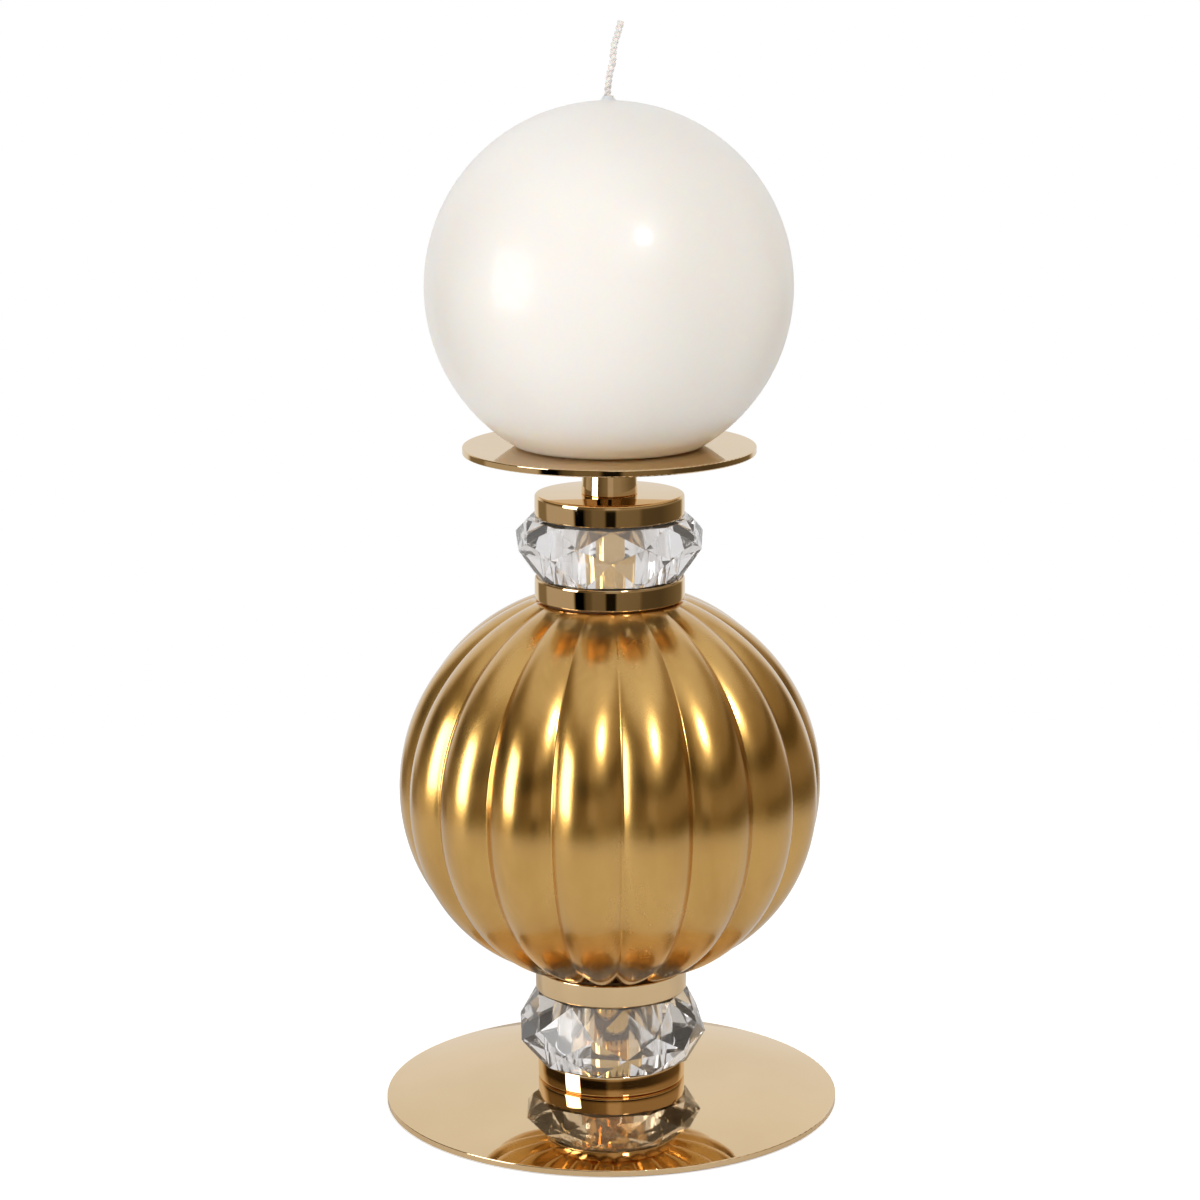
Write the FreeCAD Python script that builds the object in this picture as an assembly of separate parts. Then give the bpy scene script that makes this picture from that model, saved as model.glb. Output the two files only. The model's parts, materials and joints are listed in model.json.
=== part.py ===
import FreeCAD, Part
import math
import os

# Candle holder for a ball candle: a stack of polished brass discs, two cut
# crystal rings and one large ribbed glass ball, all threaded on one tie rod.
# Millimetres, +Z up the stack axis, origin on the table under the axis.
# -Y is the front of the object.

os.makedirs("parts", exist_ok=True)
V = FreeCAD.Vector

# ---------------------------------------------------------------- dimensions
# base plate: slightly domed spun disc standing on a felt ring
BASE_R = 63.5
BASE_T = 1.8
BASE_RIM_BOTTOM = 0.3
BASE_TOP_Z = 6.6          # flat seat in the middle, where the stack stands
BASE_SEAT_R = 21.5
BASE_RIM_TOP = 2.1
EDGE = 0.3                # rounding of the polished edges

FELT_R_IN = 53.5
FELT_R_OUT = 60.0

# standard M6 hardware
ROD_R = 3.0
THREAD_GRIP_R = 2.95      # minor clearance of the threads that hold the rod
HOLE_R = 3.2              # clearance holes
NUT_AF = 10.0
NUT_H = 3.2
WASHER_R = 6.25
WASHER_T = 1.2

# collars and cap
COLLAR_R = 20.7
COLLAR_H = 6.1
LOWER_BALL_COLLAR_R = 21.2
LOWER_BALL_COLLAR_H = 6.4
SPIGOT_R = 15.0
SPIGOT_H = 4.0
SEAL_T = 0.4              # clear washers under and over each crystal
BALL_SEAL_T = 0.5

# cut crystal rings
CRYSTAL_SIDES = 9
CRYSTAL_BORE_R = 11.7
LOWER_CRYSTAL_H = 19.3
UPPER_CRYSTAL_H = 16.1
# rows of corners from the bottom face to the top face: radius, share of the
# height. The upper ring is fuller above its middle, the lower one below it.
LOWER_CRYSTAL_ROWS = [(22.5, 0.0), (26.6, 0.33), (25.6, 0.60), (21.5, 1.0)]
UPPER_CRYSTAL_ROWS = [(21.4, 0.0), (25.4, 0.47), (26.2, 0.71), (23.2, 1.0)]

SLEEVE_R = 6.0            # brass tube in the bore of each crystal
SPACER_R = 7.0            # steel tube inside the ball

# ribbed ball
RIBS = 18
BALL_R = 58.7
BALL_C = 57.0             # height of the full upper half
BALL_C_LOW = 55.2         # height of the full lower half
BALL_LOW_POWER = 2.06     # the lower half is a little fuller than an ellipse
BALL_CZ = 91.4
BALL_TOP_Z = 144.3        # flat of the upper mouth
LOBE_TURN = 36.0          # degrees a lobe's skin has turned at its valley
RIB_PHASE = -86.8         # degrees, one valley
BALL_CAVITY_R = 52.5
BALL_MOUTH_R = 15.6

# neck and candle plate
NECK_FOOT_R = 7.7
NECK_TOP_R = 7.2
NECK_H = 11.3
PLATE_R = 40.2
PLATE_T = 1.9

# pricket and candle
SPIKE_FLANGE_R = 6.0
SPIKE_FLANGE_H = 2.2
SPIKE_HUB_R = 4.4
SPIKE_HUB_H = 3.2
SPIKE_ROOT_R = 3.0
SPIKE_TIP_R = 0.4
SPIKE_H = 25.0            # plate to tip
CANDLE_R = 50.0
CANDLE_GAP = 0.05         # candle foot over the plate
PIERCE_GAP = 0.35         # wax pulled back round the pricket
WICK_R = 1.0

# ------------------------------------------------------------- stack heights
z_base = BASE_TOP_Z
z_lc0 = z_base + COLLAR_H                 # top of base collar
z_lx0 = z_lc0 + SEAL_T                    # lower crystal, bottom
z_lx1 = z_lx0 + LOWER_CRYSTAL_H
z_bc0 = z_lx1 + SEAL_T                    # lower ball collar, bottom
z_bc1 = z_bc0 + LOWER_BALL_COLLAR_H
z_b0 = z_bc1 + BALL_SEAL_T                # ball, bottom mouth
z_b1 = BALL_TOP_Z                         # ball, top mouth
z_uc0 = z_b1 + BALL_SEAL_T                # upper ball collar
z_uc1 = z_uc0 + COLLAR_H
z_ux0 = z_uc1 + SEAL_T                    # upper crystal
z_ux1 = z_ux0 + UPPER_CRYSTAL_H
z_cap0 = z_ux1 + SEAL_T                   # cap disc
z_cap1 = z_cap0 + COLLAR_H
z_neck1 = z_cap1 + NECK_H
z_plate = z_neck1 + PLATE_T               # top face of the candle plate
z_candle = z_plate + CANDLE_GAP           # foot of the candle
CANDLE_CZ = z_plate + 43.3                # centre of the ball candle
z_candle1 = CANDLE_CZ + CANDLE_R


# ------------------------------------------------------------------- helpers
def profile(start, steps):
    """Closed face in the XZ half plane. A step is (r, z), or
    (mid r, mid z, r, z) for an arc through the middle point."""
    p = V(start[0], 0, start[1])
    first = p
    edges = []
    for s in steps:
        if len(s) == 2:
            q = V(s[0], 0, s[1])
            edges.append(Part.LineSegment(p, q).toShape())
        else:
            m = V(s[0], 0, s[1])
            q = V(s[2], 0, s[3])
            edges.append(Part.Arc(p, m, q).toShape())
        p = q
    if p.distanceToPoint(first) > 1e-7:
        edges.append(Part.LineSegment(p, first).toShape())
    return Part.Face(Part.Wire(edges))


def turn(start, steps):
    s = profile(start, steps).revolve(V(0, 0, 0), V(0, 0, 1), 360)
    if s.ShapeType != "Solid":
        s = Part.Solid(Part.Shell(s.Faces))
    if s.Volume < 0:
        s.reverse()
    return s


def ring(r0, r1, z0, z1, e=0.0):
    """Flat ring with its two outer edges rounded by e."""
    if e <= 0:
        return turn((r0, z0), [(r1, z0), (r1, z1), (r0, z1)])
    k = e * (1 - math.sqrt(0.5))
    return turn((r0, z0), [
        (r1 - e, z0),
        (r1 - k, z0 + k, r1, z0 + e),
        (r1, z1 - e),
        (r1 - k, z1 - k, r1 - e, z1),
        (r0, z1)])


def save(node, shape):
    if shape.ShapeType != "Compound" and not shape.isValid():
        raise RuntimeError(node + " is not valid")
    shape.exportStep("parts/" + node + ".step")
    print("%-30s volume %9.2f mm3  z %7.2f .. %7.2f" % (
        node, shape.Volume, shape.BoundBox.ZMin, shape.BoundBox.ZMax))


def crystal(rows, z0, h, phase):
    """Cut ring: flat tables top and bottom, every side facet a triangle,
    each row of corners half a pitch round from the one below."""
    n = CRYSTAL_SIDES

    def row(k, shift):
        r, share = rows[k]
        return [V(r * math.cos(math.radians(phase + (i + shift) * 360.0 / n)),
                  r * math.sin(math.radians(phase + (i + shift) * 360.0 / n)),
                  z0 + share * h) for i in range(n)]

    bot = row(0, 0.5)
    low = row(1, 0.0)
    up = row(2, 0.5)
    top = row(3, 0.0)
    faces = [Part.Face(Part.makePolygon(top + [top[0]])),
             Part.Face(Part.makePolygon(bot + [bot[0]]))]

    def tri(a, b, c):
        faces.append(Part.Face(Part.makePolygon([a, b, c, a])))

    for i in range(n):
        j = (i + 1) % n
        tri(top[i], top[j], up[i])
        tri(top[j], up[i], up[j])
        tri(up[i], low[i], low[j])
        tri(up[i], up[j], low[j])
        tri(low[i], low[j], bot[i])
        tri(low[j], bot[i], bot[j])
    shell = Part.Shell(faces)
    shell.sewShape()
    s = Part.Solid(shell)
    if s.Volume < 0:
        s.reverse()
    bore = Part.makeCylinder(CRYSTAL_BORE_R, h + 2, V(0, 0, z0 - 1))
    return s.cut(bore)


# ---------------------------------------------------------------- base group
def make_base_plate():
    """Disc with a flat seat and a gently falling dome out to the rim."""
    run = BASE_R - EDGE - BASE_SEAT_R
    drop = BASE_TOP_Z - BASE_RIM_TOP
    rad = (run ** 2 + drop ** 2) / (2 * drop)
    half = run / 2
    mid_top = (BASE_SEAT_R + half,
               BASE_TOP_Z - rad + math.sqrt(rad ** 2 - half ** 2))
    under = BASE_TOP_Z - BASE_T
    run_u = BASE_R - 1.0 - BASE_SEAT_R
    drop_u = under - (BASE_RIM_BOTTOM + 0.1)
    rad_u = (run_u ** 2 + drop_u ** 2) / (2 * drop_u)
    half_u = run_u / 2
    mid_u = (BASE_SEAT_R + half_u,
             under - rad_u + math.sqrt(rad_u ** 2 - half_u ** 2))
    k = EDGE * (1 - math.sqrt(0.5))
    return turn((HOLE_R, under), [
        (BASE_SEAT_R, under),
        (mid_u[0], mid_u[1], BASE_R - 1.0, BASE_RIM_BOTTOM + 0.1),
        (BASE_R - 0.8, BASE_RIM_BOTTOM),
        (BASE_R - EDGE, BASE_RIM_BOTTOM),
        (BASE_R - k, BASE_RIM_BOTTOM + k, BASE_R, BASE_RIM_BOTTOM + EDGE),
        (BASE_R, BASE_RIM_TOP - EDGE),
        (BASE_R - k, BASE_RIM_TOP - k, BASE_R - EDGE, BASE_RIM_TOP),
        (mid_top[0], mid_top[1], BASE_SEAT_R, BASE_TOP_Z),
        (HOLE_R, BASE_TOP_Z)]), rad_u, under


base_plate, under_rad, under_z = make_base_plate()
save("base_plate", base_plate)


def underside(r):
    return under_z - under_rad + math.sqrt(
        under_rad ** 2 - (r - BASE_SEAT_R) ** 2)


save("felt_ring", turn((FELT_R_IN, 0), [
    (FELT_R_OUT, 0),
    (FELT_R_OUT, underside(FELT_R_OUT) - 0.03),
    (FELT_R_IN, underside(FELT_R_IN) - 0.03)]))

save("base_washer", ring(HOLE_R, WASHER_R, under_z - WASHER_T, under_z, 0.2))

z_nut0 = under_z - WASHER_T - NUT_H
hexagon = [V(NUT_AF / math.sqrt(3) * math.cos(math.radians(60 * i)),
             NUT_AF / math.sqrt(3) * math.sin(math.radians(60 * i)), z_nut0)
           for i in range(6)]
nut = Part.Face(Part.makePolygon(hexagon + [hexagon[0]])).extrude(
    V(0, 0, NUT_H))
barrel = turn((0, z_nut0), [
    (NUT_AF / 2 - 0.1, z_nut0), (NUT_AF / math.sqrt(3) + 0.2, z_nut0 + 0.75),
    (NUT_AF / math.sqrt(3) + 0.2, z_nut0 + NUT_H), (0, z_nut0 + NUT_H)])
nut = nut.common(barrel).cut(
    Part.makeCylinder(THREAD_GRIP_R, NUT_H + 2, V(0, 0, z_nut0 - 1)))
save("base_nut", nut)

# ------------------------------------------------------------------- tie rod
z_rod0 = z_nut0 + 0.1
z_rod1 = z_plate + SPIKE_FLANGE_H + 1.6
save("tie_rod", turn((0, z_rod0), [
    (ROD_R - 0.6, z_rod0), (ROD_R, z_rod0 + 0.6),
    (ROD_R, z_rod1 - 0.6), (ROD_R - 0.6, z_rod1), (0, z_rod1)]))

# --------------------------------------------------------------- lower stack
save("base_collar", ring(HOLE_R, COLLAR_R, z_base, z_lc0, EDGE))
save("lower_crystal_seal_bottom",
     ring(CRYSTAL_BORE_R + 0.3, COLLAR_R - 1.2, z_lc0, z_lx0))
save("lower_crystal_ring",
     crystal(LOWER_CRYSTAL_ROWS, z_lx0, LOWER_CRYSTAL_H, -81.0))
save("lower_crystal_seal_top",
     ring(CRYSTAL_BORE_R + 0.3, COLLAR_R - 1.4, z_lx1, z_bc0))
save("lower_sleeve", ring(HOLE_R, SLEEVE_R, z_lc0, z_bc0, 0.2))

# disc that the ball sits on, with a spigot up into its mouth
k = EDGE * (1 - math.sqrt(0.5))
save("lower_ball_collar", turn((HOLE_R, z_bc0), [
    (LOWER_BALL_COLLAR_R - EDGE, z_bc0),
    (LOWER_BALL_COLLAR_R - k, z_bc0 + k, LOWER_BALL_COLLAR_R, z_bc0 + EDGE),
    (LOWER_BALL_COLLAR_R, z_bc1 - EDGE),
    (LOWER_BALL_COLLAR_R - k, z_bc1 - k, LOWER_BALL_COLLAR_R - EDGE, z_bc1),
    (SPIGOT_R, z_bc1),
    (SPIGOT_R, z_bc1 + SPIGOT_H - 0.6),
    (SPIGOT_R - 0.6, z_bc1 + SPIGOT_H),
    (HOLE_R, z_bc1 + SPIGOT_H)]))

# --------------------------------------------------------------- ribbed ball
save("ball_seal_bottom",
     ring(SPIGOT_R + 0.6, COLLAR_R - 1.3, z_bc1, z_b0))


def make_ball():
    """Ellipsoid with upright ribs: each rib is a rounded lobe and the lobes
    meet in sharp valleys. One lobe is a spline face, turned to make the rest."""
    half = 180.0 / RIBS
    half_arc = BALL_R * math.pi / RIBS
    turn_v = math.radians(LOBE_TURN)
    n_z, n_a = 25, 13
    p = BALL_LOW_POWER
    t1 = math.asin((z_b1 - BALL_CZ) / BALL_C)
    t0 = math.asin(((BALL_CZ - z_b0) / BALL_C_LOW) ** (p / 2))
    rows = []
    for i in range(n_z):
        t = -t0 + (t0 + t1) * i / (n_z - 1)
        if t < 0:
            r = BALL_R * math.cos(t) ** (2 / p)
            z = BALL_CZ - BALL_C_LOW * math.sin(-t) ** (2 / p)
        else:
            r = BALL_R * math.cos(t)
            z = BALL_CZ + BALL_C * math.sin(t)
        row = []
        for j in range(n_a):
            a = -1.0 + 2.0 * j / (n_a - 1)
            depth = -half_arc * math.log(math.cos(turn_v * abs(a))) / turn_v
            rr = r * (1 - depth / BALL_R)
            ang = math.radians(RIB_PHASE + half + a * half)
            row.append(V(rr * math.cos(ang), rr * math.sin(ang), z))
        rows.append(row)
    surf = Part.BSplineSurface()
    surf.interpolate(rows)
    lobe = surf.toShape()
    faces = []
    for k in range(RIBS):
        f = lobe.copy()
        f.rotate(V(0, 0, 0), V(0, 0, 1), 2 * half * k)
        faces.append(f)

    def cap(z):
        rim = []
        for f in faces:
            for e in f.Edges:
                b = e.BoundBox
                if abs(b.ZMin - z) < 1e-4 and abs(b.ZMax - z) < 1e-4:
                    rim.append(e)
        return Part.Face(Part.Wire(Part.__sortEdges__(rim)))

    shell = Part.Shell(faces + [cap(z_b0), cap(z_b1)])
    shell.sewShape()
    s = Part.Solid(shell)
    if s.Volume < 0:
        s.reverse()
    cavity = Part.makeSphere(BALL_CAVITY_R, V(0, 0, BALL_CZ))
    mouth = Part.makeCylinder(BALL_MOUTH_R, z_b1 - z_b0 + 4,
                              V(0, 0, z_b0 - 2))
    return s.cut(cavity.fuse(mouth))


save("ribbed_ball", make_ball())
save("ball_seal_top", ring(SPIGOT_R + 0.6, COLLAR_R - 1.3, z_b1, z_uc0))
save("ball_spacer_tube",
     ring(HOLE_R, SPACER_R, z_bc1 + SPIGOT_H, z_uc0 - SPIGOT_H, 0.2))

# --------------------------------------------------------------- upper stack
k = EDGE * (1 - math.sqrt(0.5))
save("upper_ball_collar", turn((HOLE_R, z_uc0 - SPIGOT_H), [
    (SPIGOT_R - 0.6, z_uc0 - SPIGOT_H),
    (SPIGOT_R, z_uc0 - SPIGOT_H + 0.6),
    (SPIGOT_R, z_uc0),
    (COLLAR_R - EDGE, z_uc0),
    (COLLAR_R - k, z_uc0 + k, COLLAR_R, z_uc0 + EDGE),
    (COLLAR_R, z_uc1 - EDGE),
    (COLLAR_R - k, z_uc1 - k, COLLAR_R - EDGE, z_uc1),
    (HOLE_R, z_uc1)]))
save("upper_crystal_seal_bottom",
     ring(CRYSTAL_BORE_R + 0.3, COLLAR_R - 1.2, z_uc1, z_ux0))
save("upper_crystal_ring",
     crystal(UPPER_CRYSTAL_ROWS, z_ux0, UPPER_CRYSTAL_H, -89.0))
save("upper_crystal_seal_top",
     ring(CRYSTAL_BORE_R + 0.3, COLLAR_R - 1.2, z_ux1, z_cap0))
save("upper_sleeve", ring(HOLE_R, SLEEVE_R, z_uc1, z_cap0, 0.2))
save("cap_disc", ring(HOLE_R, COLLAR_R - 0.1, z_cap0, z_cap1, EDGE))

save("neck_spacer", turn((HOLE_R, z_cap1), [
    (NECK_FOOT_R - 0.25, z_cap1), (NECK_FOOT_R, z_cap1 + 0.25),
    (NECK_TOP_R, z_neck1 - 0.2), (NECK_TOP_R - 0.2, z_neck1),
    (HOLE_R, z_neck1)]))
save("candle_plate", ring(HOLE_R, PLATE_R, z_neck1, z_plate, EDGE))

# ------------------------------------------------------------------- pricket
z_f = z_plate + SPIKE_FLANGE_H
z_h = z_f + SPIKE_HUB_H
z_tip = z_plate + SPIKE_H
save("candle_spike", turn((THREAD_GRIP_R, z_plate), [
    (SPIKE_FLANGE_R - 0.3, z_plate),
    (SPIKE_FLANGE_R, z_plate + 0.3),
    (SPIKE_FLANGE_R, z_f - 0.3),
    (SPIKE_FLANGE_R - 0.3, z_f),
    (SPIKE_HUB_R, z_f),
    (SPIKE_HUB_R, z_h - 0.4),
    (SPIKE_HUB_R - 0.4, z_h),
    (SPIKE_ROOT_R, z_h),
    (SPIKE_TIP_R, z_tip - 0.3),
    (SPIKE_TIP_R - 0.2, z_tip),
    (0, z_tip),
    (0, z_rod1 + 0.4),
    (THREAD_GRIP_R, z_rod1 + 0.4)]))

# -------------------------------------------------------------------- candle
# wick: braided core that leans over a little at its free end
wick_path = [(-0.4, 0.0, z_tip + 3.0), (-0.4, 0.0, 277.0),
             (0.25, 0.0, 286.5), (1.35, -0.2, 290.6),
             (1.65, -0.2, 294.6), (3.75, 0.2, 301.6)]


def pipe(points, r):
    """Round tube along straight runs joined by tangent arcs."""
    p = [V(*q) for q in points]
    edges = []
    last = p[0]
    for i in range(1, len(p) - 1):
        a = (p[i - 1] - p[i]).normalize()
        b = (p[i + 1] - p[i]).normalize()
        run = min((p[i - 1] - p[i]).Length, (p[i + 1] - p[i]).Length)
        cut = 0.42 * run
        q0 = p[i] + V(a).multiply(cut)
        q1 = p[i] + V(b).multiply(cut)
        turn_angle = math.pi - a.getAngle(b)
        rad = cut / math.tan(turn_angle / 2)
        bis = (a + b).normalize()
        centre = p[i] + V(bis).multiply(rad / math.cos(turn_angle / 2))
        mid = centre - V(bis).multiply(rad)
        edges.append(Part.LineSegment(last, q0).toShape())
        edges.append(Part.Arc(q0, mid, q1).toShape())
        last = q1
    edges.append(Part.LineSegment(last, p[-1]).toShape())
    spine = Part.Wire(edges)
    d = (p[1] - p[0]).normalize()
    circle = Part.Wire(Part.makeCircle(r, p[0], d))
    s = spine.makePipeShell([circle], True, True)
    print("wick section x length %.2f" % (math.pi * r * r * spine.Length))
    return s


wick = pipe(wick_path, WICK_R)
save("candle_wick", wick)

# one turned profile: pierced foot, ball, and a small collar of wax drawn up
# round the wick
g = PIERCE_GAP
FOOT_EDGE = 7.0           # radius of the soft turn from the ball to its foot
foot_z = z_candle + FOOT_EDGE
foot_r = math.sqrt((CANDLE_R - FOOT_EDGE) ** 2 - (CANDLE_CZ - foot_z) ** 2)
foot_a = math.atan2(foot_z - CANDLE_CZ, foot_r)
mid_a = (foot_a - math.pi / 2) / 2
r_top = 4.2               # where the ball turns up into the collar
z_top = CANDLE_CZ + math.sqrt(CANDLE_R ** 2 - r_top ** 2)
wax = turn((SPIKE_FLANGE_R + g, z_candle), [
    (foot_r, z_candle),
    (foot_r + FOOT_EDGE * math.cos(mid_a), foot_z + FOOT_EDGE * math.sin(mid_a),
     CANDLE_R * math.cos(foot_a), CANDLE_CZ + CANDLE_R * math.sin(foot_a)),
    (CANDLE_R, CANDLE_CZ, r_top, z_top),
    (2.1, z_top + 0.35, 1.45, z_top + 1.5),
    (0, z_top + 1.5),
    (0, z_tip + g),
    (SPIKE_TIP_R + g, z_tip + g),
    (SPIKE_ROOT_R + g, z_h + g),
    (SPIKE_HUB_R + g, z_h + g),
    (SPIKE_HUB_R + g, z_f + g),
    (SPIKE_FLANGE_R + g, z_f + g)])
wax = wax.cut(wick)
save("candle_wax", wax)
print("plate top %.2f  candle top %.2f" % (z_plate, z_candle1))
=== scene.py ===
import json
import math
import bpy
import bmesh
from mathutils import Vector, Matrix, noise


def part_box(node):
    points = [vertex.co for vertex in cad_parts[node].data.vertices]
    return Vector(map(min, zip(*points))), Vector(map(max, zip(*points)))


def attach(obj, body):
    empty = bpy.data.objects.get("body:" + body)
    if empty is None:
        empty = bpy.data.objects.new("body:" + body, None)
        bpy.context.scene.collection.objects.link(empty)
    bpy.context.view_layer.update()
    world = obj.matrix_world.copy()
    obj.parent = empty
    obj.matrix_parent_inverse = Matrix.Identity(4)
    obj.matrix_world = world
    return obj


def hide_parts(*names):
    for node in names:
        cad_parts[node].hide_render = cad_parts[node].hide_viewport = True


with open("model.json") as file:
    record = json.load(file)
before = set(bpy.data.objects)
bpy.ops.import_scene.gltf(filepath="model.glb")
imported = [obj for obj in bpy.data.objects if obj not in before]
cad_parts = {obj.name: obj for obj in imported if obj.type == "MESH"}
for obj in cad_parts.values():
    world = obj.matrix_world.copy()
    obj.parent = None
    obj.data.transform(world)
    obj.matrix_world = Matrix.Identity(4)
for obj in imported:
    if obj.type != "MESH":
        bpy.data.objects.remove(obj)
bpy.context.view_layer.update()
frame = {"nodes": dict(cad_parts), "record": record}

NODES = frame["nodes"]
scene = bpy.context.scene


# --------------------------------------------------------------------------
# small node helpers
# --------------------------------------------------------------------------
class Tree:
    def __init__(self, tree):
        self.t = tree
        tree.nodes.clear()

    def n(self, kind, **kw):
        node = self.t.nodes.new(kind)
        ins = kw.pop("inputs", {})
        for k, v in kw.items():
            setattr(node, k, v)
        for k, v in ins.items():
            self.set(node.inputs[k], v)
        return node

    def set(self, socket, v):
        if isinstance(v, bpy.types.NodeSocket):
            self.t.links.new(v, socket)
        elif hasattr(socket, "default_value"):
            if hasattr(v, "__len__") and len(v) == 3 and socket.type == "RGBA":
                v = (*v, 1.0)
            socket.default_value = v

    def math(self, op, a, b=0.0, c=None, clamp=False):
        node = self.n("ShaderNodeMath", operation=op, use_clamp=clamp)
        self.set(node.inputs[0], a)
        self.set(node.inputs[1], b)
        if c is not None:
            self.set(node.inputs[2], c)
        return node.outputs[0]

    def mapr(self, v, a, b, c=0.0, d=1.0, kind="SMOOTHSTEP"):
        node = self.n("ShaderNodeMapRange", interpolation_type=kind, clamp=True)
        for i, x in enumerate((v, a, b, c, d)):
            self.set(node.inputs[i], x)
        return node.outputs[0]

    def mix(self, f, a, b):
        node = self.n("ShaderNodeMix", data_type="RGBA")
        self.set(node.inputs[0], f)
        self.set(node.inputs[6], a)
        self.set(node.inputs[7], b)
        return node.outputs[2]

    def noise(self, vec, scale, detail=3.0, rough=0.5, dist=0.0):
        node = self.n("ShaderNodeTexNoise",
                      inputs={"Scale": scale, "Detail": detail,
                              "Roughness": rough, "Distortion": dist})
        self.set(node.inputs["Vector"], vec)
        return node.outputs["Fac"]

    def scaled(self, vec, s, loc=(0, 0, 0), rot=(0, 0, 0)):
        node = self.n("ShaderNodeMapping")
        self.set(node.inputs["Vector"], vec)
        node.inputs["Scale"].default_value = s
        node.inputs["Location"].default_value = loc
        node.inputs["Rotation"].default_value = rot
        return node.outputs[0]

    def bump(self, height, strength, distance, normal=None):
        node = self.n("ShaderNodeBump")
        node.inputs["Strength"].default_value = strength
        node.inputs["Distance"].default_value = distance
        self.set(node.inputs["Height"], height)
        if normal is not None:
            self.set(node.inputs["Normal"], normal)
        return node.outputs[0]


def new_material(name):
    m = bpy.data.materials.new(name)
    m.use_nodes = True
    t = Tree(m.node_tree)
    out = t.n("ShaderNodeOutputMaterial")
    p = t.n("ShaderNodeBsdfPrincipled")
    t.t.links.new(p.outputs[0], out.inputs["Surface"])
    obj = t.n("ShaderNodeTexCoord").outputs["Object"]
    return m, t, p, obj


# --------------------------------------------------------------------------
# materials
# --------------------------------------------------------------------------
def polished_brass(name, deep, light, rough=0.03, wave=0.10, seed=0.0):
    """Mirror polished gold-plated brass: slow tone drift, faint handling
    smudges in the roughness, hair-fine wipe marks and a very slight wave."""
    m, t, p, obj = new_material(name)
    v = t.scaled(obj, (1, 1, 1), loc=(seed, seed * 0.7, seed * 0.3))
    drift = t.noise(v, 22.0, 3.0)
    t.set(p.inputs["Base Color"], t.mix(t.mapr(drift, 0.3, 0.7), deep, light))
    smudge = t.noise(v, 60.0, 5.0, 0.62, 0.4)
    fine = t.noise(t.scaled(v, (900, 60, 60)), 1.0, 2.0, 0.5)
    r = t.mapr(smudge, 0.42, 0.78, rough * 0.6, rough * 2.1)
    r2 = t.math("MULTIPLY_ADD", fine, rough * 0.5, r)
    t.set(p.inputs["Roughness"], r2)
    wavey = t.noise(v, 34.0, 1.0, 0.4)
    b1 = t.bump(wavey, wave, 0.0006)
    b2 = t.bump(fine, 0.03, 0.00004, b1)
    t.set(p.inputs["Normal"], b2)
    p.inputs["Metallic"].default_value = 1.0
    p.inputs["Specular Tint"].default_value = (1.0, 0.97, 0.92, 1.0)
    return m


def crystal_glass(name):
    """Clear lead crystal: faint cool body tone, hair-fine polishing haze."""
    m, t, p, obj = new_material(name)
    c = t.noise(obj, 40.0, 2.0)
    t.set(p.inputs["Base Color"],
          t.mix(c, (0.985, 0.985, 0.99), (1.0, 0.998, 0.995)))
    haze = t.noise(obj, 180.0, 4.0, 0.6)
    t.set(p.inputs["Roughness"], t.mapr(haze, 0.55, 0.85, 0.0, 0.02))
    t.set(p.inputs["Normal"], t.bump(t.noise(obj, 90.0, 1.0), 0.04, 0.0002))
    p.inputs["Transmission Weight"].default_value = 0.90
    p.inputs["IOR"].default_value = 1.46
    return m


def gold_under_glass(name):
    """Satin gold on a ribbed ball under a thin clear gloss: cloudy tone,
    faint upright streaks, fine grain."""
    m, t, p, obj = new_material(name)
    cloud = t.noise(obj, 26.0, 5.0, 0.6, 0.3)
    streak = t.noise(t.scaled(obj, (55, 55, 9)), 1.0, 5.0, 0.62, 0.6)
    f = t.math("MULTIPLY_ADD", streak, 0.55, t.math("MULTIPLY", cloud, 0.45))
    t.set(p.inputs["Base Color"],
          t.mix(t.mapr(f, 0.32, 0.68), (0.59, 0.338, 0.085),
                (0.745, 0.460, 0.138)))
    grain = t.noise(obj, 420.0, 3.0, 0.6)
    t.set(p.inputs["Roughness"], t.mapr(f, 0.3, 0.7, 0.21, 0.29))
    b = t.bump(grain, 0.10, 0.0001)
    b = t.bump(streak, 0.12, 0.0006, b)
    t.set(p.inputs["Normal"], b)
    p.inputs["Metallic"].default_value = 1.0
    p.inputs["Coat Weight"].default_value = 1.0
    p.inputs["Coat Roughness"].default_value = 0.10
    p.inputs["Coat IOR"].default_value = 1.42
    return m


def candle_wax(name):
    """White wax: soft light inside, smooth satin skin with faint bloom."""
    m, t, p, obj = new_material(name)
    cloud = t.noise(obj, 30.0, 4.0, 0.55)
    t.set(p.inputs["Base Color"],
          t.mix(cloud, (0.84, 0.832, 0.815), (0.885, 0.88, 0.872)))
    bloom = t.noise(obj, 140.0, 4.0, 0.6)
    t.set(p.inputs["Roughness"], t.mapr(bloom, 0.35, 0.75, 0.30, 0.42))
    b = t.bump(t.noise(obj, 55.0, 2.0), 0.10, 0.0006)
    b = t.bump(t.noise(obj, 700.0, 3.0, 0.6), 0.05, 0.00008, b)
    t.set(p.inputs["Normal"], b)
    p.inputs["Subsurface Weight"].default_value = 0.7
    p.inputs["Subsurface Radius"].default_value = (1.0, 0.72, 0.5)
    p.inputs["Subsurface Scale"].default_value = 0.006
    p.inputs["Specular IOR Level"].default_value = 0.25
    p.inputs["Coat Weight"].default_value = 0.12
    p.inputs["Coat Roughness"].default_value = 0.07
    return m


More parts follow.
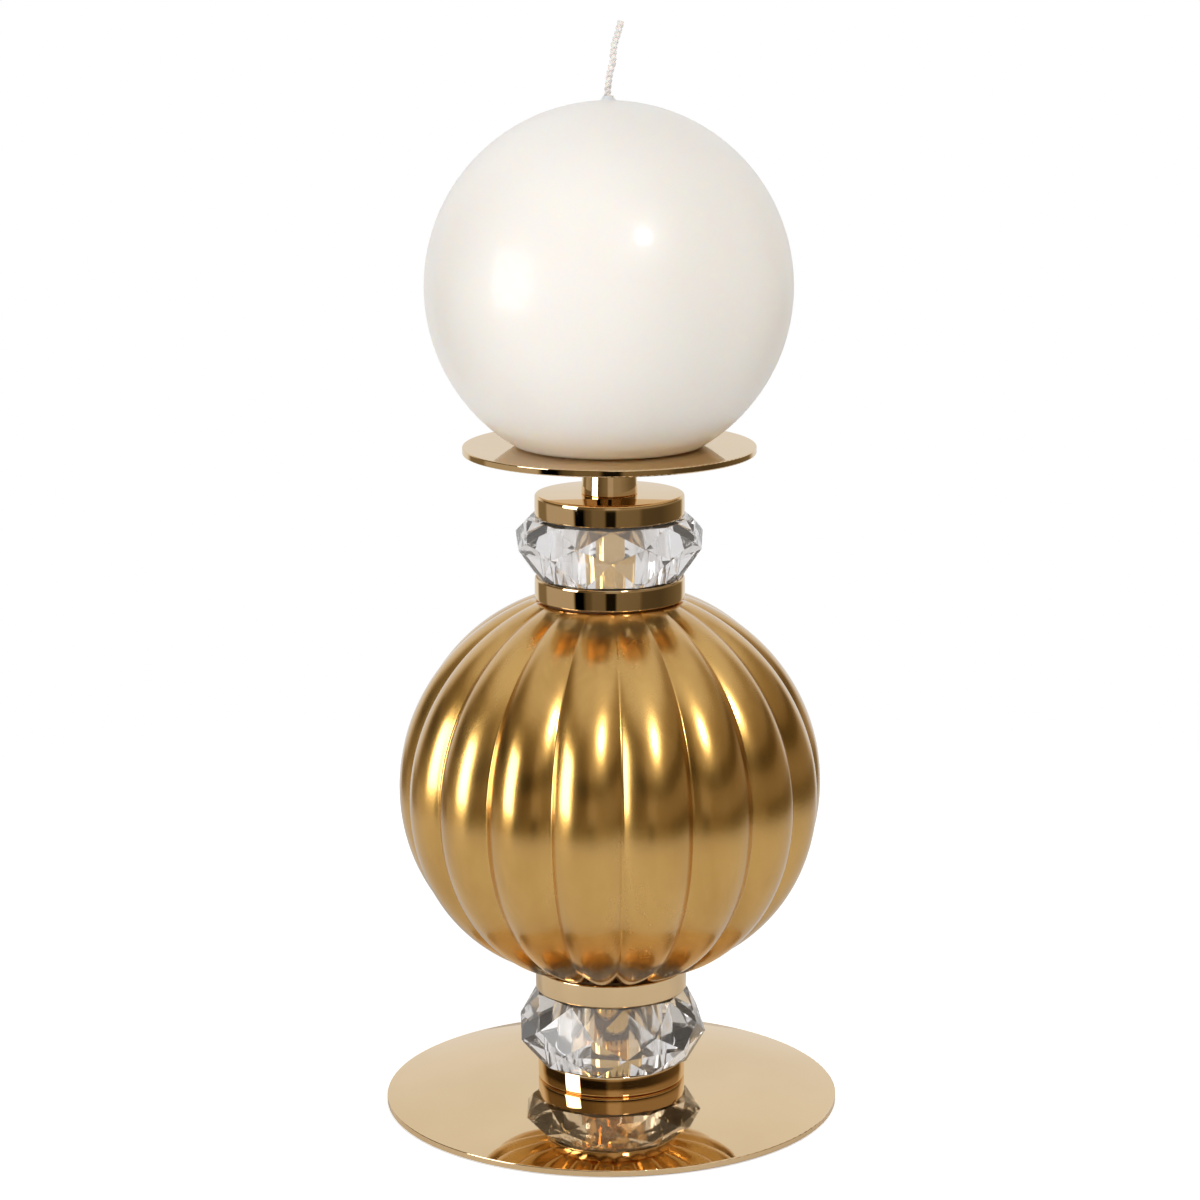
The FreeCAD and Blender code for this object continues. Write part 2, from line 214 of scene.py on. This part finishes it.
def cotton(name):
    """Waxed cotton braid: off-white, greyer where the wax is thin."""
    m, t, p, obj = new_material(name)
    c = t.noise(obj, 700.0, 4.0, 0.6)
    fibre = t.noise(t.scaled(obj, (2600, 2600, 500)), 1.0, 3.0, 0.6)
    t.set(p.inputs["Base Color"],
          t.mix(t.mapr(c, 0.3, 0.7), (0.70, 0.69, 0.675), (0.88, 0.875, 0.865)))
    t.set(p.inputs["Roughness"], t.mapr(c, 0.3, 0.7, 0.38, 0.62))
    t.set(p.inputs["Normal"], t.bump(fibre, 0.25, 0.00008))
    p.inputs["Subsurface Weight"].default_value = 0.15
    p.inputs["Subsurface Scale"].default_value = 0.0006
    return m


def plated_steel(name):
    m, t, p, obj = new_material(name)
    c = t.noise(obj, 120.0, 4.0, 0.6)
    t.set(p.inputs["Base Color"],
          t.mix(c, (0.52, 0.52, 0.51), (0.70, 0.70, 0.68)))
    t.set(p.inputs["Roughness"], t.mapr(c, 0.3, 0.7, 0.22, 0.42))
    t.set(p.inputs["Normal"], t.bump(t.noise(obj, 1400.0, 3.0), 0.1, 0.0001))
    p.inputs["Metallic"].default_value = 1.0
    return m


def soft_solid(name, a, b, rough, fine, strength, clear=0.0):
    m, t, p, obj = new_material(name)
    c = t.noise(obj, fine * 0.35, 4.0, 0.6)
    t.set(p.inputs["Base Color"], t.mix(t.mapr(c, 0.3, 0.7), a, b))
    t.set(p.inputs["Roughness"], t.mapr(c, 0.3, 0.7, rough * 0.85, rough))
    t.set(p.inputs["Normal"], t.bump(t.noise(obj, fine, 4.0, 0.65), strength,
                                     0.0002))
    p.inputs["Transmission Weight"].default_value = clear
    p.inputs["IOR"].default_value = 1.45
    return m


MAT = {
    "polished_brass": polished_brass("polished_brass", (0.79, 0.59, 0.345),
                                     (0.84, 0.635, 0.39)),
    "brass_tube": polished_brass("brass_tube", (0.72, 0.46, 0.15),
                                 (0.80, 0.54, 0.20), 0.10, 0.05, 3.0),
    "gold_glass": gold_under_glass("gold_glass"),
    "crystal": crystal_glass("crystal"),
    "plated_steel": plated_steel("plated_steel"),
    "clear_seal": soft_solid("clear_seal", (0.86, 0.86, 0.85),
                             (0.94, 0.94, 0.93), 0.25, 900.0, 0.1, 0.9),
    "rubber_seal": soft_solid("rubber_seal", (0.10, 0.062, 0.028),
                              (0.16, 0.10, 0.048), 0.7, 1200.0, 0.2),
    "felt": soft_solid("felt", (0.018, 0.016, 0.015), (0.055, 0.05, 0.046),
                       1.0, 2600.0, 0.9),
    "wax": candle_wax("wax"),
    "wick_cotton": cotton("wick_cotton"),
}
SLOT = {s["node"]: s["material_slot"] for s in frame["record"]["subparts"]}
for name, o in NODES.items():
    for s in o.material_slots:
        s.material = MAT[SLOT[name]]

# --------------------------------------------------------------------------
# ribbed ball: rounded lobes, filleted valleys, scalloped lower lip
# --------------------------------------------------------------------------
def add_mesh(name, bm, mat, sharp=None):
    me = bpy.data.meshes.new(name)
    bm.to_mesh(me)
    bm.free()
    o = bpy.data.objects.new(name, me)
    scene.collection.objects.link(o)
    me.materials.append(mat)
    me.shade_smooth()
    if sharp is not None:
        me.set_sharp_from_angle(angle=math.radians(sharp))
    return o


RIBS, PHASE = 18, math.radians(-86.8)
BALL_R, BALL_UP, BALL_LOW, LOW_POWER, BALL_Z = 58.7, 57.0, 55.2, 2.06, 91.4
FOOT_Z, TOP_Z, MOUTH_R, CAVITY_R = 39.7, 144.3, 15.6, 52.5
LOBE_TURN = math.radians(36.0)      # how far a lobe's skin has turned at a valley
VALLEY = 0.045                      # rounded bottom of a valley, share of a half lobe


def lobe_depth(a):
    """Depth under the crest, mm at the equator, for a from 0 to 1."""
    half = BALL_R * math.pi / RIBS
    a0 = 1.0 - VALLEY

    def arc(x):
        return -half * math.log(math.cos(LOBE_TURN * x)) / LOBE_TURN

    if a <= a0:
        return arc(a)
    x = a - a0
    return arc(a0) + half * math.tan(LOBE_TURN * a0) * (x - x * x / (2 * VALLEY))


def make_ball():
    across = [0.0, 0.12, 0.24, 0.36, 0.48, 0.59, 0.69, 0.78, 0.85, 0.91,
              0.955, 0.972, 0.988]
    cols = []                        # (angle, depth)
    half = math.pi / RIBS
    for k in range(RIBS):
        c = PHASE + half + 2 * half * k
        for a in [-1.0] + [-x for x in across[:0:-1]] + across:
            cols.append((c + a * half, lobe_depth(abs(a))))
    n = len(cols)
    t_top = math.asin((TOP_Z - BALL_Z) / BALL_UP)
    t_low = math.acos(((MOUTH_R + 0.5) / BALL_R) ** (LOW_POWER / 2))
    rows_n = 150
    bm = bmesh.new()
    rows = []
    for i in range(rows_n + 1):
        t = -t_low + (t_low + t_top) * i / rows_n
        if t < 0:
            r = BALL_R * math.cos(t) ** (2 / LOW_POWER)
            z = BALL_Z - BALL_LOW * math.sin(-t) ** (2 / LOW_POWER)
        else:
            r = BALL_R * math.cos(t)
            z = BALL_Z + BALL_UP * math.sin(t)
        nr, nz = r / BALL_R ** 2, (z - BALL_Z) / (BALL_UP if t > 0 else BALL_LOW) ** 2
        ln = math.hypot(nr, nz)
        nr, nz = nr / ln, nz / ln
        # a valley is cut along the skin's normal; its depth follows the
        # lobe's width, and stays deeper towards the foot
        u = min(1.0, max(0.0, (math.degrees(-t) - 30.0) / 36.0))
        u = u * u * (3 - 2 * u)
        share = (r / BALL_R) * (1 - u) + 0.52 * u
        row = []
        for ang, dep in cols:
            d = dep * share
            rr = r - d * (nr if t < 0 else 1.0)
            zz = z - d * (nz if t < 0 else 0.0)
            zz = max(zz, FOOT_Z)
            rr = max(rr, MOUTH_R + 0.02)
            row.append(bm.verts.new((rr * math.cos(ang) / 1000,
                                     rr * math.sin(ang) / 1000, zz / 1000)))
        rows.append(row)
    # mouth and cavity
    inner = [(MOUTH_R, TOP_Z)]
    z_hi = BALL_Z + math.sqrt(CAVITY_R ** 2 - MOUTH_R ** 2)
    inner.append((MOUTH_R, z_hi))
    for i in range(1, 20):
        a = math.asin(MOUTH_R / CAVITY_R)
        a = a + (math.pi - 2 * a) * i / 20
        inner.append((CAVITY_R * math.sin(a), BALL_Z + CAVITY_R * math.cos(a)))
    inner.append((MOUTH_R, 2 * BALL_Z - z_hi))
    inner.append((MOUTH_R, FOOT_Z))
    for r, z in inner:
        rows.append([bm.verts.new((r * math.cos(ang) / 1000,
                                   r * math.sin(ang) / 1000, z / 1000))
                     for ang, dep in cols])
    m = len(rows)
    for i in range(m):
        a, b = rows[i], rows[(i + 1) % m]
        for j in range(n):
            k = (j + 1) % n
            bm.faces.new((a[j], a[k], b[k], b[j]))
    bmesh.ops.dissolve_degenerate(bm, dist=1e-6, edges=bm.edges)
    bmesh.ops.recalc_face_normals(bm, faces=bm.faces)
    o = add_mesh("ribbed_ball_fine", bm, MAT["gold_glass"], 50)
    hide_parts("ribbed_ball")
    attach(o, "holder")
    return o


make_ball()


# --------------------------------------------------------------------------
# polished discs: barely crowned walls and softly rolled edges
# --------------------------------------------------------------------------
def lathe(name, node, outline, slot, body, sharp=35, seg=192):
    """outline: closed list of (r, z) in mm round the section."""
    bm = bmesh.new()
    rings = []
    for r, z in outline:
        rings.append([bm.verts.new((r * math.cos(2 * math.pi * j / seg) / 1000,
                                    r * math.sin(2 * math.pi * j / seg) / 1000,
                                    z / 1000)) for j in range(seg)])
    for i in range(len(rings)):
        a, b = rings[i], rings[(i + 1) % len(rings)]
        for j in range(seg):
            k = (j + 1) % seg
            bm.faces.new((a[j], a[k], b[k], b[j]))
    bmesh.ops.recalc_face_normals(bm, faces=bm.faces)
    o = add_mesh(name, bm, MAT[slot], sharp)
    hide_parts(node)
    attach(o, body)
    return o


def wall(r, z0, z1, e0, e1, crown, n=7, m=12):
    """Outer wall from bottom to top with rolled edges e0 and e1 and a crown."""
    out = []
    for i in range(n + 1):
        a = math.pi / 2 * i / n
        out.append((r - crown - e0 + e0 * math.sin(a), z0 + e0 - e0 * math.cos(a)))
    for i in range(1, m):
        f = i / m
        out.append((r - crown * (2 * f - 1) ** 2, z0 + e0 + (z1 - e1 - z0 - e0) * f))
    for i in range(n + 1):
        a = math.pi / 2 * i / n
        out.append((r - crown - e1 + e1 * math.cos(a), z1 - e1 + e1 * math.sin(a)))
    return out


def disc(node, r, e0, e1, crown, low_spigot=False, high_spigot=False):
    lo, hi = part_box(node)
    z0, z1 = lo.z * 1000, hi.z * 1000
    ri, rs = 3.2, 15.0
    line = [(ri, z0)]
    if low_spigot:
        zs = z0 + 4.0
        line += [(rs - 0.6, z0), (rs, z0 + 0.6), (rs, zs)]
        z0 = zs
    top = z1 - 4.0 if high_spigot else z1
    line += wall(r, z0, top, e0, e1, crown)
    if high_spigot:
        line += [(rs, top), (rs, z1 - 0.6), (rs - 0.6, z1)]
    line += [(ri, z1)]
    return lathe(node + "_polished", node, line, "polished_brass", "holder")


disc("cap_disc", 20.6, 0.35, 0.75, 0.05)
disc("upper_ball_collar", 20.7, 0.35, 0.6, 0.05, low_spigot=True)
disc("lower_ball_collar", 21.2, 0.5, 0.3, 0.03, high_spigot=True)
disc("base_collar", 20.7, 0.85, 0.35, 0.04)


# --------------------------------------------------------------------------
# wick: three waxed cotton strands plaited along a slightly kinked line
# --------------------------------------------------------------------------
def make_wick():
    line = [(-0.40, 0.0, 215.2), (-0.40, 0.0, 240.0), (-0.40, 0.0, 265.0),
            (-0.30, 0.0, 276.0), (-0.18, 0.0, 281.8), (0.06, 0.0, 285.0),
            (0.58, -0.1, 288.2), (1.18, -0.2, 290.2), (1.42, -0.2, 293.2),
            (1.62, -0.1, 295.0), (2.10, 0.0, 296.7), (2.66, 0.1, 298.3),
            (3.08, 0.15, 299.9), (3.52, 0.2, 301.35)]
    pts = [Vector(q) for q in line]

    def at(s):
        """Catmull-Rom point, s from 0 to 1 by height."""
        z = pts[0].z + (pts[-1].z - pts[0].z) * s
        i = 0
        while i < len(pts) - 2 and pts[i + 1].z < z:
            i += 1
        f = (z - pts[i].z) / (pts[i + 1].z - pts[i].z)
        a, b = pts[max(i - 1, 0)], pts[i]
        c, d = pts[i + 1], pts[min(i + 2, len(pts) - 1)]
        return 0.5 * ((2 * b) + (c - a) * f + (2 * a - 5 * b + 4 * c - d) * f * f
                      + (3 * b - a - 3 * c + d) * f ** 3)

    bm = bmesh.new()
    steps, seg, pitch = 520, 8, 4.4
    for k in range(3):
        last = None
        for i in range(steps + 1):
            s = i / steps
            c = at(s)
            c2 = at(min(1.0, s + 0.002))
            c1 = at(max(0.0, s - 0.002))
            t = (c2 - c1).normalized()
            side = t.cross(Vector((0, 1, 0))).normalized() * -1
            deep = t.cross(side).normalized()
            ph = 2 * math.pi * (c.z / pitch + k / 3)
            fat = 1.0 + 0.10 * noise.noise(Vector((c.z * 0.35, 3.1 * k, 7.0)))
            o = c + side * (0.50 * math.sin(ph)) + deep * (0.30 * math.sin(2 * ph))
            ring = []
            for j in range(seg):
                w = 2 * math.pi * j / seg
                ring.append(bm.verts.new((o + (side * math.cos(w)
                            + deep * math.sin(w)) * 0.47 * fat) / 1000))
            if last:
                for j in range(seg):
                    m = (j + 1) % seg
                    bm.faces.new((last[j], last[m], ring[m], ring[j]))
            else:
                bm.faces.new(ring[::-1])
            last = ring
        bm.faces.new(last)
    bmesh.ops.recalc_face_normals(bm, faces=bm.faces)
    o = add_mesh("wick_braid", bm, MAT["wick_cotton"])
    fuse = o.modifiers.new("fuse", "REMESH")
    fuse.mode = "VOXEL"
    fuse.voxel_size = 0.00013
    fuse.use_smooth_shade = True
    wax = o.modifiers.new("wax", "SMOOTH")
    wax.factor = 0.5
    wax.iterations = 2
    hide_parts("candle_wick")
    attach(o, "candle")
    return o


make_wick()

# --------------------------------------------------------------------------
# stage: pale table, world, lights, camera
# --------------------------------------------------------------------------
def make_floor():
    """Pale round table top that fades out into the pale background."""
    bm = bmesh.new()
    rings, seg = 24, 96
    rad = 0.48
    centre = bm.verts.new((0, 0, 0))
    last = None
    for i in range(1, rings + 1):
        r = rad * i / rings
        row = [bm.verts.new((r * math.cos(2 * math.pi * j / seg),
                             r * math.sin(2 * math.pi * j / seg), 0))
               for j in range(seg)]
        for j in range(seg):
            k = (j + 1) % seg
            if last is None:
                bm.faces.new((centre, row[j], row[k]))
            else:
                bm.faces.new((last[j], row[j], row[k], last[k]))
        last = row
    me = bpy.data.meshes.new("table_top")
    bm.to_mesh(me)
    bm.free()
    o = bpy.data.objects.new("table_top", me)
    scene.collection.objects.link(o)
    o.location.z = -0.0001
    m = bpy.data.materials.new("table_top")
    m.use_nodes = True
    t = Tree(m.node_tree)
    out = t.n("ShaderNodeOutputMaterial")
    p = t.n("ShaderNodeBsdfPrincipled")
    obj = t.n("ShaderNodeTexCoord").outputs["Object"]
    n = t.noise(obj, 14.0, 3.0)
    t.set(p.inputs["Base Color"],
          t.mix(n, (0.70, 0.70, 0.70), (0.76, 0.76, 0.76)))
    p.inputs["Roughness"].default_value = 0.75
    p.inputs["Specular IOR Level"].default_value = 0.2
    glow = t.n("ShaderNodeEmission")
    glow.inputs["Color"].default_value = (0.62, 0.62, 0.62, 1)
    lp = t.n("ShaderNodeLightPath")
    t.set(glow.inputs["Strength"], lp.outputs["Is Camera Ray"])
    add = t.n("ShaderNodeAddShader")
    t.t.links.new(p.outputs[0], add.inputs[0])
    t.t.links.new(glow.outputs[0], add.inputs[1])
    clear = t.n("ShaderNodeBsdfTransparent")
    length = t.n("ShaderNodeVectorMath", operation="LENGTH")
    t.set(length.inputs[0], obj)
    fade = t.mapr(length.outputs["Value"], 0.29, 0.46)
    mixs = t.n("ShaderNodeMixShader")
    t.set(mixs.inputs[0], fade)
    t.t.links.new(add.outputs[0], mixs.inputs[1])
    t.t.links.new(clear.outputs[0], mixs.inputs[2])
    t.t.links.new(mixs.outputs[0], out.inputs["Surface"])
    me.materials.append(m)
    return o


make_floor()


# brightness of the studio round the table, by direction: 0 degrees is in
# front of the object, negative to its left. LOW is what lies just under the
# height of the table edge, MID is a narrow dark band of room a little over the
# table, and HIGH is the rest of the walls.
LOW = [(-180, .80), (-146, .80), (-138, .20), (-116, .20), (-111, .44),
       (-58, .44), (-54, .0), (-41, .0), (-36, .08), (-29, .10), (-26, .15),
       (-8, .15), (-5, .008), (8, .008), (11, .18), (45, .16), (52, .08),
       (85, .07), (112, .12), (140, .18), (152, .80), (180, .80)]
MID = [(-180, .82), (-140, .82), (-122, .04), (-40, .01), (-10, .015),
       (-4, .10), (12, .08), (18, .03), (60, .04), (110, .10), (132, .14),
       (146, .82), (180, .82)]
HIGH = [(-180, .82), (-136, .82), (-118, .16), (-40, .12), (-10, .20),
        (-4, .45), (12, .45), (18, .30), (60, .30), (110, .30), (130, .34),
        (144, .82), (180, .82)]


def ramp(t, fac, table):
    node = t.n("ShaderNodeValToRGB")
    t.set(node.inputs[0], fac)
    e = node.color_ramp.elements
    while len(e) > 1:
        e.remove(e[-1])
    for i, (deg, v) in enumerate(table):
        pos = (deg + 180.0) / 360.0
        if i == 0:
            e[0].position = pos
            el = e[0]
        else:
            el = e.new(pos)
        el.color = (v, v, v, 1.0)
    return node.outputs[0]


def make_world():
    """Pale backdrop behind, darker studio with a few panels in front, pale
    ceiling; plain pale to the camera everywhere."""
    w = bpy.data.worlds.new("studio")
    scene.world = w
    w.use_nodes = True
    t = Tree(w.node_tree)
    out = t.n("ShaderNodeOutputWorld")
    d = t.n("ShaderNodeTexCoord").outputs["Generated"]
    sep = t.n("ShaderNodeSeparateXYZ")
    t.set(sep.inputs[0], d)
    x, y, z = sep.outputs
    az = t.math("ARCTAN2", x, t.math("MULTIPLY", y, -1.0))   # 0 in front
    fac = t.math("MULTIPLY_ADD", az, 1.0 / (2 * math.pi), 0.5)
    el = t.math("ARCSINE", z)
    rad = math.radians
    low, mid, high = ramp(t, fac, LOW), ramp(t, fac, MID), ramp(t, fac, HIGH)
    col = t.mix(t.mapr(el, rad(-8), rad(-4)), low, high)
    col = t.mix(t.mapr(el, rad(6), rad(9)), col, mid)
    col = t.mix(t.mapr(el, rad(17), rad(21)), col, high)
    col = t.mix(t.mapr(el, rad(34), rad(54)), col, (0.72, 0.72, 0.72))
    col = t.mix(t.mapr(el, rad(-30), rad(-48)), col, (0.45, 0.45, 0.45))
    # the dark parts of the room are warm
    warm = t.n("ShaderNodeMix", data_type="RGBA", blend_type="MULTIPLY")
    warm.inputs[0].default_value = 1.0
    t.set(warm.inputs[6], col)
    t.set(warm.inputs[7], t.mix(t.mapr(col, 0.10, 0.78, kind="LINEAR"),
                                (1.15, 0.84, 0.43), (1.0, 1.0, 1.0)))
    col = warm.outputs[2]
    lp = t.n("ShaderNodeLightPath")
    through = t.math("MULTIPLY", lp.outputs["Is Transmission Ray"], 0.72)
    col = t.mix(through, col, (0.88, 0.87, 0.88))
    studio = t.n("ShaderNodeBackground")
    t.set(studio.inputs["Color"], col)
    studio.inputs["Strength"].default_value = 1.0
    pale = t.n("ShaderNodeBackground")
    pale.inputs["Color"].default_value = (1.0, 1.0, 1.0, 1)
    pale.inputs["Strength"].default_value = 1.0
    mixs = t.n("ShaderNodeMixShader")
    t.set(mixs.inputs[0], lp.outputs["Is Camera Ray"])
    t.t.links.new(studio.outputs[0], mixs.inputs[1])
    t.t.links.new(pale.outputs[0], mixs.inputs[2])
    t.t.links.new(mixs.outputs[0], out.inputs["Surface"])


make_world()


def area(name, az, el, dist, size, power, target=(0, 0, 0.16),
         color=(1, 1, 1), soft=1.0):
    a, e = math.radians(az), math.radians(el)
    d = Vector((math.sin(a) * math.cos(e), -math.cos(a) * math.cos(e),
                math.sin(e)))
    l = bpy.data.lights.new(name, "AREA")
    l.shape = "RECTANGLE"
    l.size, l.size_y = size
    l.energy = power
    l.color = color
    o = bpy.data.objects.new(name, l)
    scene.collection.objects.link(o)
    o.location = Vector(target) + d * dist
    o.rotation_mode = "QUATERNION"
    o.rotation_quaternion = (-d).to_track_quat("-Z", "Y")
    o.visible_camera = False
    return o


area("softbox_left", -63, 8, 2.0, (0.9, 1.05), 23)
area("softbox_right", 25, 37, 2.2, (0.30, 0.30), 18)
back_right = area("strip_right_back", 118, 24, 2.0, (0.6, 1.3), 4)
back_right.visible_glossy = False
bounce = area("table_bounce", 24, -24, 1.25, (0.7, 0.5), 4.8,
              target=(0, 0, 0.23), color=(1.0, 0.985, 0.97))
bounce.visible_glossy = False
bounce.visible_transmission = False

cam_data = bpy.data.cameras.new("camera")
cam_data.sensor_width = 36.0
cam_data.lens = 103.286
cam_data.clip_start, cam_data.clip_end = 0.05, 20.0
cam = bpy.data.objects.new("camera", cam_data)
scene.collection.objects.link(cam)
right = Vector((0.99999179, -0.00150460, -0.00376317))
up = Vector((0.00399475, 0.20931734, 0.97783960))
back = right.cross(up).normalized()
m = Matrix.Identity(4)
for i in range(3):
    m[i][0], m[i][1], m[i][2] = right[i], up[i], back[i]
m.translation = Vector((-0.003356, -0.927655, 0.342472))
cam.matrix_world = m
scene.camera = cam

scene.view_settings.view_transform = "Standard"
scene.view_settings.look = "None"
scene.view_settings.exposure = 0.0
scene.view_settings.gamma = 1.0
scene.cycles.max_bounces = 48
scene.cycles.transmission_bounces = 40
scene.cycles.glossy_bounces = 36
scene.cycles.transparent_max_bounces = 16
scene.cycles.caustics_reflective = True
scene.cycles.caustics_refractive = True
scene.cycles.sample_clamp_indirect = 6.0
